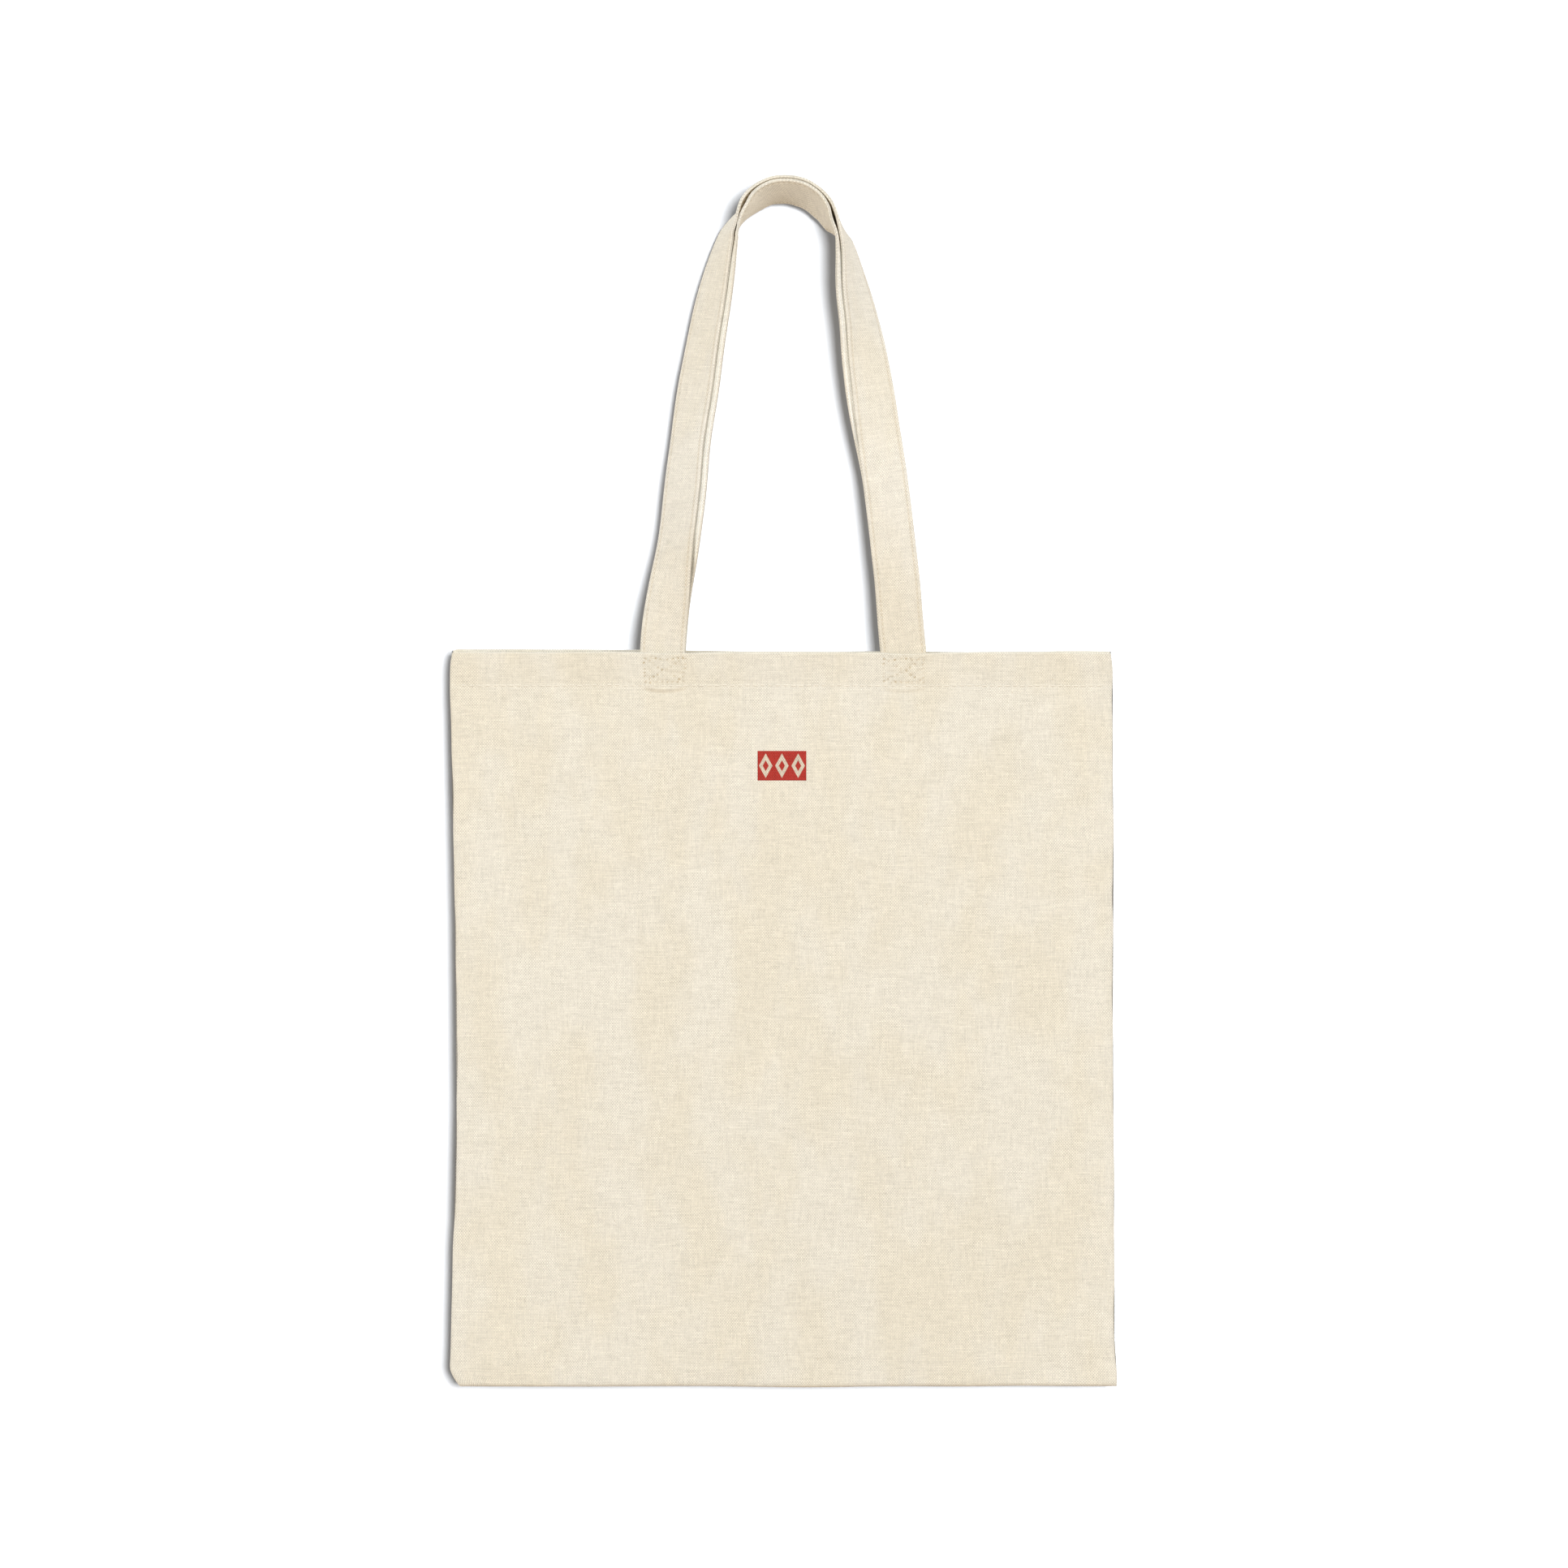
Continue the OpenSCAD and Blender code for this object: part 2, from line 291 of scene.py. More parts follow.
def profile():
    """The cloth's cut from the bottom up the outer face, over the fold and down the inner face."""
    fold = np.linspace(0, math.pi, 11)[1:-1]
    r = HEM_T / 2
    outer = np.concatenate([BODY_H - ROLL_STEPS[::-1], spread((BODY_H - 7, 30, 2.2), (30, r, 0.5)), [r]])
    hem = spread((r, HEM_D, 0.9))
    step = np.array([0.0, 0.25, 0.5, 0.7])
    inner = np.concatenate([spread((HEM_D + 1.2, BODY_H - 6, 3.4)), BODY_H - ROLL_STEPS])
    d = np.concatenate([outer, r - r * np.sin(fold), hem, HEM_D + step, inner])
    inward = np.concatenate([
        0 * outer, r - r * np.cos(fold), 0 * hem + HEM_T,
        HEM_T + (CLOTH_T - HEM_T) * smooth(step, 0, 0.7), 0 * inner + CLOTH_T])
    return d, inward


# ---------------------------------------------------------------- shape of the straps

HINGE_H = 1.5  # where the straps leave the hem
APEX_H = LOOP_RISE + 1.5 * CAD_STRAP_T + NEST_GAP
MEET_H = APEX_H - 20  # where the two loops have drawn together
ARCH_TILT = 28  # degrees past standing on edge, over the arch
ARCH_YAW = 0.5  # how much further right the rear edge lies over the arch, as a share of its distance


class Leg:
    """How one half of the loops hangs: its sewn place, rise, lean, shoulder and arch, and how it turns."""

    def __init__(self, sewn_x, rise, lean, shoulder, arch_reach, arch_x, early, early_h, late, turned_h,
                 tilt_h, slide, slide_h, sag, sag_h):
        shoulder = np.array(shoulder)
        on = shoulder + arch_reach * unit(shoulder - np.array(lean))
        self.sewn_x = sewn_x
        self.leg = np.array([[sewn_x, HINGE_H], rise, lean, shoulder])
        self.arch = np.array([shoulder, on, [arch_x, APEX_H], [0, APEX_H]])
        self.early, self.early_h, self.late = early, early_h, late
        self.turned_h, self.tilt_h = turned_h, tilt_h
        self.most_slide, self.slide_h = slide, slide_h
        self.sag, self.sag_h = sag, sag_h

    def open(self, h):
        """How far the back loop sags away from the front one at the shoulder."""
        return self.sag * bell(h - self.sag_h, 8) * smooth(h, 268, 260)

    def turn(self, side, h):
        """Angle that a strap has turned through at a height: 0 is flat, 90 stands on its edge."""
        start = self.early * (1 - np.exp(-(np.maximum(h, 0) / self.early_h) ** 2))
        rest = (1 - self.early) * clamp01(h / self.turned_h[side]) ** self.late
        turn = np.radians(90 * (start + rest) + ARCH_TILT * smooth(h, self.tilt_h[side], APEX_H - 1))
        return turn - 0.85 * self.open(h) / (STRAP_W / 2) if side == BACK else turn

    def slide(self, h):
        """How far the back loop's inner edge stands out past the front one's."""
        return self.most_slide * smooth(h, *self.slide_h) * smooth(h, 262, 215)


LEGS = {
    LEFT: Leg(sewn_x=68.6, rise=(66.7, 42), lean=(47.3, 202), shoulder=(33.5, 240.5), arch_reach=6.5,
              arch_x=16.5, early=0.44, early_h=40, late=6.2, turned_h={FRONT: 260, BACK: 257},
              tilt_h={FRONT: 250, BACK: 246}, slide=3.2, slide_h=(5, 60), sag=1.35, sag_h=256),
    RIGHT: Leg(sewn_x=69.9, rise=(66.2, 40), lean=(48.7, 189.6), shoulder=(36.8, 234.6), arch_reach=27,
               arch_x=12.5, early=0, early_h=18, late=2.8, turned_h={FRONT: 253, BACK: 252},
               tilt_h={FRONT: 238, BACK: 231}, slide=3.3, slide_h=(95, 155), sag=1.35, sag_h=250)}
ASIDE = 1.2  # how far the loops hang to the right


def bezier(p, t):
    """Points of the cubic curve with four control points."""
    t = t[:, None]
    return (1 - t) ** 3 * p[0] + 3 * (1 - t) ** 2 * t * p[1] + 3 * (1 - t) * t * t * p[2] + t ** 3 * p[3]


def half_loop(half):
    """One half of a handle from its sewn end to the middle of the arch: x and height over the hem."""
    sewn = np.stack([np.full(22, half.sewn_x), np.linspace(-SEWN_L, HINGE_H, 22, endpoint=False)], -1)
    leg = bezier(half.leg, np.linspace(0, 1, 160, endpoint=False))
    arch = bezier(half.arch, np.linspace(0, 1, 50))
    return np.concatenate([sewn, leg, arch])


def strap_off(h):
    """Distance of a strap from the seam plane: the two loops draw together above the hem."""
    return STRAP_Y * (1 - clamp01(h / MEET_H)) ** 2


def strap_half(side, hand):
    """Centres, normals and width directions up half a strap, from its sewn end to the top of the arch."""
    half = LEGS[hand]
    p = half_loop(half)
    h = p[:, 1]
    zero = 0 * h
    d = unit(np.gradient(p, axis=0))
    out = np.stack([hand * d[:, 1], zero, -d[:, 0]], -1)
    loose = smooth(h, 20, 60) * smooth(APEX_H - h, 0, 6)
    sway = loose * 0.3 * waves(h, zero, 90 + hand, 5, 28, 80)
    across = hand * p[:, 0] + ASIDE * smooth(h, 5, 60)
    centre = np.stack([across, side * strap_off(h), TOP + h], -1) + sway[:, None] * out
    if side == BACK:
        front, normal, width = strap_half(FRONT, hand)
        apart = STRAP_T + 0.4 + 0.25 * smooth(h, 190, 240) + half.open(h)
        nested = front - apart[:, None] * normal - half.slide(h)[:, None] * width
        centre = centre + smooth(h, 0, 75)[:, None] * (nested - centre)
    along = unit(np.gradient(centre, axis=0))
    turn = half.turn(side, h) + loose * 0.02 * waves(h, zero, 95 + hand, 5, 30, 70)
    raw = np.stack([zero, -np.cos(turn), zero], -1) + np.sin(turn)[:, None] * out
    normal = unit(raw - np.sum(raw * along, -1, keepdims=True) * along)
    width = np.cross(along, normal) * hand
    return centre, normal, unit(width - (ARCH_YAW * smooth(h, 235, 258) * hand)[:, None] * along)


def strap_line(side):
    """Centres, normals, width directions and lengths along a strap, from left end to right end."""
    halves = [strap_half(side, hand) for hand in (LEFT, RIGHT)]
    line = [np.concatenate([a, b[-2::-1]]) for a, b in zip(*halves)]
    steps = np.linalg.norm(np.diff(line[0], axis=0), axis=1)
    length = np.concatenate([[0], np.cumsum(steps)])
    return (*line, length)


def strap_face(w, s, seed):
    """Height of a strap's face over its middle plane."""
    h = STRAP_T / 2 + 0.07 * np.cos(math.pi * w / STRAP_W)
    h = h - 0.22 * bell(np.abs(w) - STRAP_ROW, 0.6)
    h = h + 0.035 * waves(w, s, seed, 12, 6, 18, 1.6)
    pucker = bell(np.abs(w) - STRAP_ROW, 2.2)
    return h + 0.04 * pucker * np.sin(2 * math.pi * s / 5.3 + 2 * np.sin(s / 17))


def strap_section():
    """Round the strap's cut: place across its width, which face, and the share of full height."""
    half = np.array([0, 2.2, 4.4, 6.4, 8, 9, 9.6, 10.0, 10.3, 10.55, 10.8, 11.1, 11.5, 11.9])
    face = np.concatenate([-half[:0:-1], half])
    arc = np.radians([20, 40, 60, 78])
    reach = STRAP_W / 2 - 12.05
    turn_w = 12.05 + reach * np.sin(arc)
    turn_n = np.cos(arc)
    tip = STRAP_W / 2
    w = np.concatenate([face, turn_w, [tip], turn_w[::-1], face[::-1], -turn_w, [-tip + 0.35], -turn_w[::-1]])
    top = 0 * face + 1
    n = np.concatenate([top, turn_n, [0], -turn_n[::-1], -top, -turn_n, [0], turn_n[::-1]])
    return w, n


# ---------------------------------------------------------------- meshes

def make_piece(name, points, faces, material, cloth=None, painted_shading=None):
    """A smooth mesh object from points in millimetres, with where each point lies on the flat cloth."""
    mesh = bpy.data.meshes.new(name)
    mesh.from_pydata((np.asarray(points) * MM).tolist(), [], faces)
    mesh.validate()
    mesh.shade_smooth()
    if cloth is not None:
        flat = mesh.attributes.new("cloth", "FLOAT_VECTOR", "POINT")
        flat.data.foreach_set("vector", np.asarray(cloth, np.float32).ravel())
    # Painted shade, and painted light where negative, for the materials to darken or brighten the colour by.
    if painted_shading is not None:
        shade = mesh.attributes.new("painted_shading", "FLOAT", "POINT")
        shade.data.foreach_set("value", np.asarray(painted_shading, np.float32).ravel())
    mesh.materials.append(material)
    piece = bpy.data.objects.new(name, mesh)
    bpy.context.scene.collection.objects.link(piece)
    return piece


def grid_faces(rows, cols, flip=False):
    """Quads of a grid whose rows close on themselves, with a face over each end column."""
    i, j = np.meshgrid(np.arange(rows), np.arange(cols - 1), indexing="ij")
    k = (i + 1) % rows
    quads = np.stack([i * cols + j, i * cols + j + 1, k * cols + j + 1, k * cols + j], -1).reshape(-1, 4)
    if flip:
        quads = quads[:, ::-1]
    caps = [np.arange(rows) * cols, (np.arange(rows) * cols + cols - 1)[::-1]]
    if flip:
        caps = [c[::-1] for c in caps]
    return quads.tolist() + [c.tolist() for c in caps]


def cloth_piece(name, side, columns, material):
    """A panel with its turned hem, as one closed sheet."""
    d, inward = profile()
    x_grid, d_grid = np.meshgrid(columns, d)
    in_grid = np.broadcast_to(inward[:, None], x_grid.shape)
    points, painted_shading = cloth_point(side, x_grid, d_grid, in_grid)
    flat_z = np.where(in_grid <= HEM_T / 2, -d_grid, d_grid)
    cloth = np.stack([x_grid, flat_z, 0 * x_grid + 7 * side], -1)
    painted_shading = painted_shading * (in_grid == 0)
    rising = columns[-1] > columns[0]
    faces = grid_faces(len(d), len(columns), flip=(side == BACK) == rising)
    piece = make_piece(name, points.reshape(-1, 3), faces, material, cloth, painted_shading)
    sharpen_column(piece, columns)
    return piece


def sharpen_column(piece, columns):
    """Keeps the shading flat up to the cut, where the cloth is split into two pieces."""
    cut = np.flatnonzero(columns == 0)
    if len(cut) == 0 or cut[0] not in (0, len(columns) - 1):
        return
    mesh = piece.data
    ends = np.zeros(len(mesh.edges) * 2, np.int32)
    mesh.edges.foreach_get("vertices", ends)
    on_cut = (ends.reshape(-1, 2) % len(columns) == cut[0]).all(1)
    sharp = mesh.attributes.new("sharp_edge", "BOOLEAN", "EDGE")
    sharp.data.foreach_set("value", on_cut)


def strap_piece(name, side, material):
    """One loop as a closed solid, with painted shade along its stitch rows, low down and over the arch, and
    painted light on the faces that look at the other loop below the arch.
    """
    centre, normal, width, length = strap_line(side)
    w, n = strap_section()
    face = strap_face(w[:, None], length[None, :], 100 + side)
    thick = np.where(np.abs(n)[:, None] == 1, face, STRAP_T / 2) * n[:, None]
    points = centre[None] + w[:, None, None] * width[None] + thick[..., None] * normal[None]
    s = np.broadcast_to(length[None, :], thick.shape)
    across = np.where(n >= 0, w, 2 * STRAP_W - w)
    cloth = np.stack([np.broadcast_to(across[:, None], s.shape), s, 0 * s + 31 + side], -1)
    h = centre[:, 2] - TOP
    # Painted shade along the stitch rows' grooves, on both wide faces.
    row = 0.35 * bell(np.abs(w) - STRAP_ROW, 0.4) * (np.abs(n) == 1)
    toward_other_loop = (n == side)[:, None]
    under_arch = (n == -side)[:, None] * (side == BACK)
    # Faces that look at the other loop get painted light below the arch, where the value is negative, and
    # painted shade in the narrow gap over the arch.
    painted_shading = row[:, None] + toward_other_loop * (1.3 * smooth(h, 225, 248) - 0.5)
    # Painted shade on the back loop's underside over the arch.
    painted_shading = painted_shading + under_arch * 0.17 * smooth(h, 225, 250)
    # Painted shade on the straps low down, fading out by 120 mm up.
    painted_shading = painted_shading + 0.14 * smooth(h, 120, 20)
    faces = grid_faces(len(w), len(length))
    return make_piece(name, points.reshape(-1, 3), faces, material, cloth, painted_shading)


def threads(name, starts, stops, ups, material, radius):
    """Short stitches: each rises a little from the cloth and dives at both ends."""
    starts, stops, ups = (np.asarray(v, float) for v in (starts, stops, ups))
    along = unit(stops - starts)
    ups = unit(ups - np.sum(ups * along, -1, keepdims=True) * along)
    side = np.cross(along, ups)
    t = np.array([0, 0.12, 0.35, 0.65, 0.88, 1])
    size = np.array([0.35, 0.85, 1, 1, 0.85, 0.35])
    rise = np.array([-0.9, -0.1, 0.35, 0.35, -0.1, -0.9])
    turn = np.arange(7) * 2 * math.pi / 7
    spine = starts[:, None] + (stops - starts)[:, None] * t[None, :, None]
    spine = spine + ups[:, None] * (rise * radius)[None, :, None]
    ring = np.cos(turn)[:, None] * side[:, None, None] + np.sin(turn)[:, None] * ups[:, None, None]
    points = spine[:, :, None] + ring * (size * radius)[None, :, None, None]
    count, rings, around = points.shape[:3]
    faces = []
    base = np.arange(rings * around).reshape(rings, around)
    quads = [[base[r, a], base[r + 1, a], base[r + 1, (a + 1) % around], base[r, (a + 1) % around]]
             for r in range(rings - 1) for a in range(around)]
    quads = np.array(quads)
    for k in range(count):
        faces += (quads + k * rings * around).tolist()
        faces.append((base[0] + k * rings * around).tolist())
        faces.append((base[-1][::-1] + k * rings * around).tolist())
    span = np.linalg.norm(stops - starts, axis=-1)[:, None, None] * t[None, :, None]
    apart = np.arange(count)[:, None, None] * 1.7
    cloth = np.stack(np.broadcast_arrays(span, turn[None, None, :], apart), -1)
    return make_piece(name, points.reshape(-1, 3), faces, material, cloth.reshape(-1, 3))


def tube(name, line, radius, material, around=6):
    """A thread along a smooth line of points."""
    line = np.asarray(line, float)
    along = unit(np.gradient(line, axis=0))
    guide = np.array([0.31, 0.27, 0.91])
    side = unit(np.cross(along, guide))
    up = np.cross(side, along)
    turn = np.arange(around) * 2 * math.pi / around
    ring = np.cos(turn)[:, None, None] * side[None] + np.sin(turn)[:, None, None] * up[None]
    points = line[None] + radius * ring
    steps = np.concatenate([[0], np.cumsum(np.linalg.norm(np.diff(line, axis=0), axis=1))])
    cloth = np.stack(np.broadcast_arrays(steps[None], turn[:, None], 0 * steps[None]), -1)
    faces = grid_faces(around, len(line), flip=True)
    return make_piece(name, points.reshape(-1, 3), faces, material, cloth.reshape(-1, 3))


# ---------------------------------------------------------------- materials

class Nodes:
    """One material's node tree."""

    def __init__(self, name):
        self.material = bpy.data.materials.new(name)
        self.material.use_nodes = True
        self.tree = self.material.node_tree
        self.tree.nodes.clear()

    def put(self, socket, value):
        if isinstance(value, bpy.types.NodeSocket):
            self.tree.links.new(value, socket)
        else:
            socket.default_value = value

    def node(self, kind, inputs=None, **settings):
        made = self.tree.nodes.new(kind)
        for name, value in settings.items():
            setattr(made, name, value)
        for key, value in (inputs or {}).items():
            self.put(made.inputs[key], value)
        return made

    def math(self, operation, *values):
        made = self.node("ShaderNodeMath", operation=operation)
        for socket, value in zip(made.inputs, values):
            self.put(socket, value)
        return made.outputs[0]

    def total(self, *values):
        result = values[0]
        for value in values[1:]:
            result = self.math("ADD", result, value)
        return result

    def ramp(self, value, low, high, to_low=0.0, to_high=1.0):
        made = self.node("ShaderNodeMapRange", interpolation_type="SMOOTHSTEP")
        for key, v in (("Value", value), ("From Min", low), ("From Max", high),
                       ("To Min", to_low), ("To Max", to_high)):
            self.put(made.inputs[key], v)
        return made.outputs["Result"]

    def vector(self, x, y, z):
        return self.node("ShaderNodeCombineXYZ", {"X": x, "Y": y, "Z": z}).outputs[0]

    def noise(self, vector, scale, detail=2.0, roughness=0.5):
        inputs = {"Vector": vector, "Scale": scale, "Detail": detail, "Roughness": roughness}
        return self.node("ShaderNodeTexNoise", inputs).outputs["Fac"]

    def mix(self, share, a, b, blend="MIX"):
        made = self.node("ShaderNodeMix", data_type="RGBA", blend_type=blend)
        self.put(made.inputs["Factor"], share)
        self.put(made.inputs[6], a)
        self.put(made.inputs[7], b)
        return made.outputs[2]

    def finish(self, color, height, bump, roughness=0.9, sheen=0.12):
        normal = self.node("ShaderNodeBump", {"Height": height, "Strength": 1.0, "Distance": bump})
        shader = self.node("ShaderNodeBsdfPrincipled", {
            "Base Color": color, "Roughness": roughness, "Sheen Weight": sheen,
            "Sheen Roughness": 0.6, "Specular IOR Level": 0.15, "Normal": normal.outputs[0]})
        self.node("ShaderNodeOutputMaterial", {"Surface": shader.outputs[0]})
        return self.material


WARP_PITCH, WEFT_PITCH = 0.733, 0.87


def weave(g):
    """Plain weave over the flat cloth: brightness around 1, height 0 to 1, and the cloth's place. The
    brightness mixes the yarn's own uneven tone with painted shade in the dips and painted light on the raised
    crossings.
    """
    place = g.node("ShaderNodeAttribute", attribute_name="cloth").outputs["Vector"]
    axes = g.node("ShaderNodeSeparateXYZ", {"Vector": place})
    x, y, layer = axes.outputs
    bend_x = g.math("MULTIPLY", g.noise(place, 0.035, 1.0), 2.2)
    bend_y = g.math("MULTIPLY", g.noise(g.vector(y, x, layer), 0.035, 1.0), 2.2)
    u = g.math("DIVIDE", g.math("ADD", x, bend_x), WARP_PITCH)
    v = g.math("DIVIDE", g.math("ADD", y, bend_y), WEFT_PITCH)
    warp, weft = g.math("FLOOR", u), g.math("FLOOR", v)
    over = g.math("PINGPONG", g.math("ADD", warp, weft), 1.0)
    cut_u = g.math("SINE", g.math("MULTIPLY", g.math("FRACT", u), math.pi))
    cut_v = g.math("SINE", g.math("MULTIPLY", g.math("FRACT", v), math.pi))
    round_u = g.math("POWER", cut_u, 0.7)
    round_v = g.math("POWER", cut_v, 0.7)
    warp_over = g.math("MULTIPLY", round_u, g.math("MULTIPLY_ADD", cut_v, 0.55, 0.45))
    weft_over = g.math("MULTIPLY", round_v, g.math("MULTIPLY_ADD", cut_u, 0.55, 0.45))
    height = g.total(
        g.math("MULTIPLY", warp_over, g.math("SUBTRACT", 1.0, over)),
        g.math("MULTIPLY", weft_over, over))
    checker = g.math("MULTIPLY", g.math("MULTIPLY", cut_u, cut_v), g.math("MULTIPLY_ADD", over, -2.0, 1.0))
    warp_yarn = g.noise(g.vector(g.math("MULTIPLY", warp, 3.7), g.math("MULTIPLY", y, 0.09), layer), 1.0, 3.0)
    weft_yarn = g.noise(g.vector(g.math("MULTIPLY", x, 0.09), g.math("MULTIPLY", weft, 3.7), layer), 1.0, 3.0)
    firm = g.ramp(g.noise(place, 0.09, 2.0), 0.36, 0.62, 0.25, 1.25)
    knots = g.noise(g.vector(g.math("MULTIPLY", warp, 7.3), g.math("MULTIPLY", weft, 7.3), layer), 1.0, 0.0)
    fuzz = g.noise(place, 2.4, 2.0, 0.7)
    # Brightness: the height term is painted shade in the dips between yarns, and the checker term is painted
    # light on warp crossings and painted shade on weft crossings. The yarn, knot and fuzz terms are the
    # yarn's own uneven tone.
    shade = g.total(
        g.math("MULTIPLY_ADD", height, 0.20, 1 - 0.20 * 0.55),
        g.math("MULTIPLY", checker, g.math("MULTIPLY", firm, 0.165)),
        g.math("MULTIPLY_ADD", warp_yarn, 0.26, -0.13),
        g.math("MULTIPLY_ADD", weft_yarn, 0.32, -0.16),
        g.math("MULTIPLY_ADD", knots, 0.22, -0.11),
        g.math("MULTIPLY_ADD", fuzz, 0.26, -0.13))
    return shade, height, place


def specks(g, place, apart, size):
    """Scattered seed husks, one to a cell: a few are large and dark, most are hardly there."""
    cells = g.node("ShaderNodeTexVoronoi", {"Vector": place, "Scale": 1 / apart})
    chance = g.node("ShaderNodeSeparateColor", {"Color": cells.outputs["Color"]})
    reach = g.math("MULTIPLY_ADD", g.math("POWER", chance.outputs[0], 4.0), size, 0.25 * size)
    there = g.ramp(cells.outputs["Distance"], reach, g.math("MULTIPLY", reach, 0.4))
    return g.math("MULTIPLY", there, g.math("MULTIPLY", g.math("POWER", chance.outputs[1], 2.0), 0.6))


DARK_HUSK, PALE_HUSK = (0.30, 0.19, 0.10, 1), (0.45, 0.34, 0.22, 1)
# How much full painted shade takes from red, green and blue, so the painted shade is tinted warm brown.
PAINTED_SHADE_LOSS = (0.42, 0.54, 0.72)  # what a full mark takes from red, green and blue
WEAVE_BUMP = 0.00012  # metres


def canvas(name, base):
    """Unbleached cotton: plain weave, uneven yarn, soft mottling and small brown specks of seed husk, with
    the weave's painted shade and the pieces' painted shade and light.
    """
    g = Nodes(name)
    shade, height, place = weave(g)
    warm = tuple(base[k] * (0.99, 0.975, 0.945)[k] for k in range(3)) + (1,)
    cool = tuple(base[k] * (1.005, 1.01, 1.025)[k] for k in range(3)) + (1,)
    stretched = g.node("ShaderNodeVectorMath", {0: place, 1: (1.0, 0.45, 1.0)}, operation="MULTIPLY")
    patches = g.noise(stretched.outputs[0], 0.028, 3.0, 0.55)
    color = g.mix(g.ramp(patches, 0.36, 0.64), warm, cool)
    color = g.mix(specks(g, place, 7, 0.055), color, DARK_HUSK)
    color = g.mix(specks(g, place, 2.6, 0.16), color, PALE_HUSK)
    # Painted shade from the pieces darkens the colour in a warm brown where the value is positive. Where it
    # is negative it brightens the colour as painted light.
    painted_shading = g.node("ShaderNodeAttribute", attribute_name="painted_shading").outputs["Fac"]
    dark = [g.math("MULTIPLY", shade, g.math("MULTIPLY_ADD", painted_shading, -loss, 1.0)) for loss in PAINTED_SHADE_LOSS]
    tone = g.node("ShaderNodeCombineColor", {0: dark[0], 1: dark[1], 2: dark[2]}).outputs[0]
    color = g.mix(1.0, color, tone, "MULTIPLY")
    return g.finish(color, height, WEAVE_BUMP)


def cotton_thread(name, base):
    """Twisted sewing thread."""
    g = Nodes(name)
    place = g.node("ShaderNodeAttribute", attribute_name="cloth").outputs["Vector"]
    axes = g.node("ShaderNodeSeparateXYZ", {"Vector": place})
    run = g.math("MULTIPLY_ADD", axes.outputs[0], 9.0, axes.outputs[1])
    ply = g.math("SINE", run)
    fuzz = g.noise(place, 3.0, 2.0)
    shade = g.total(g.math("MULTIPLY", ply, 0.07), g.math("MULTIPLY_ADD", fuzz, 0.2, 0.9))
    grey = g.node("ShaderNodeCombineColor", {0: shade, 1: shade, 2: shade}).outputs[0]
    color = g.mix(1.0, (*base, 1), grey, "MULTIPLY")
    return g.finish(color, ply, 0.00004, 0.75, 0.1)


def printed_ink(name, red, cream):
    """Water-based ink on the weave: a row of diamonds, thinner where the threads dip."""
    g = Nodes(name)
    shade, height, _ = weave(g)
    pattern = g.node("ShaderNodeAttribute", attribute_name="figure").outputs["Vector"]
    axes = g.node("ShaderNodeSeparateXYZ", {"Vector": pattern})
    across = g.math("ABSOLUTE", g.math("SUBTRACT", g.math("FRACT", axes.outputs[0]), 0.5))
    upward = g.math("ABSOLUTE", axes.outputs[1])
    reach = g.math("ADD", g.math("MULTIPLY", across, 2.0), upward)
    inside = g.ramp(reach, 0.86, 0.80)
    heart = g.ramp(reach, 0.40, 0.34)
    light = g.math("MULTIPLY", inside, g.math("SUBTRACT", 1.0, heart))
    color = g.mix(light, (*red, 1), (*cream, 1))
    worn = g.math("MULTIPLY", g.ramp(height, 0.35, 0.1), 0.25)
    color = g.mix(worn, color, (0.62, 0.5, 0.38, 1))
    # The weave's brightness, painted shade in its dips included, darkens the ink more strongly than the bare
    # canvas.
    bold = g.math("POWER", shade, 1.4)
    grey = g.node("ShaderNodeCombineColor", {0: bold, 1: bold, 2: bold}).outputs[0]
    color = g.mix(1.0, color, grey, "MULTIPLY")
    return g.finish(color, height, 0.0001, 0.85, 0.05)


canvas_cloth = canvas("canvas", (0.712, 0.677, 0.582))
# The straps' canvas is a slightly brighter copy of the panels': painted light for the straps' turned faces,
# which face the lamps less.
lit_strap_cloth = canvas("lit_strap_canvas", (0.736, 0.703, 0.615))
raw_cloth = canvas("inside_canvas", (0.70, 0.62, 0.49))
thread_fibre = cotton_thread("thread", (0.83, 0.785, 0.685))
ink_film = printed_ink("ink", (0.37, 0.022, 0.016), (0.58, 0.5, 0.4))


# ---------------------------------------------------------------- pieces

def stitch_row(side, hand_columns, inner):
    """Starts, stops and outward directions of the hem's stitches between two places across the bag."""
    low, high = hand_columns
    rng = np.random.default_rng(60 + side)
    cells = np.arange(math.ceil(low / HEM_PITCH), math.floor(high / HEM_PITCH) + 1)
    x = cells * HEM_PITCH + HEM_PITCH / 2
    x = x[(x - HEM_STITCH / 2 > low) & (x + HEM_STITCH / 2 < high)]
    wobble = rng.normal(0, 0.1, len(x))
    d = STITCH_D + wobble
    inward = HEM_T if inner else 0.0
    tips = []
    for end in (-1, 1):
        place, _ = cloth_point(side, x + end * HEM_STITCH / 2, d, np.full(len(x), inward))
        tips.append(place)
    out = np.zeros((len(x), 3))
    out[:, 1] = -side if inner else side
    lift = 0.14 if inner else 0.17
    tips = [t + out * lift for t in tips]
    return tips[0], tips[1], out


def hem_seam(name, side, low, high):
    """The hem's stitches between two places across the bag, on both faces of the cloth."""
    outer = stitch_row(side, (low, high), False)
    limit = HALF_W - 19  # the inner row ends before the seam allowance
    inner = stitch_row(side, (max(low, -limit), min(high, limit)), True)
    rows = (np.concatenate([a, b]) for a, b in zip(outer, inner))
    return threads(name, *rows, thread_fibre, HEM_THREAD_R)


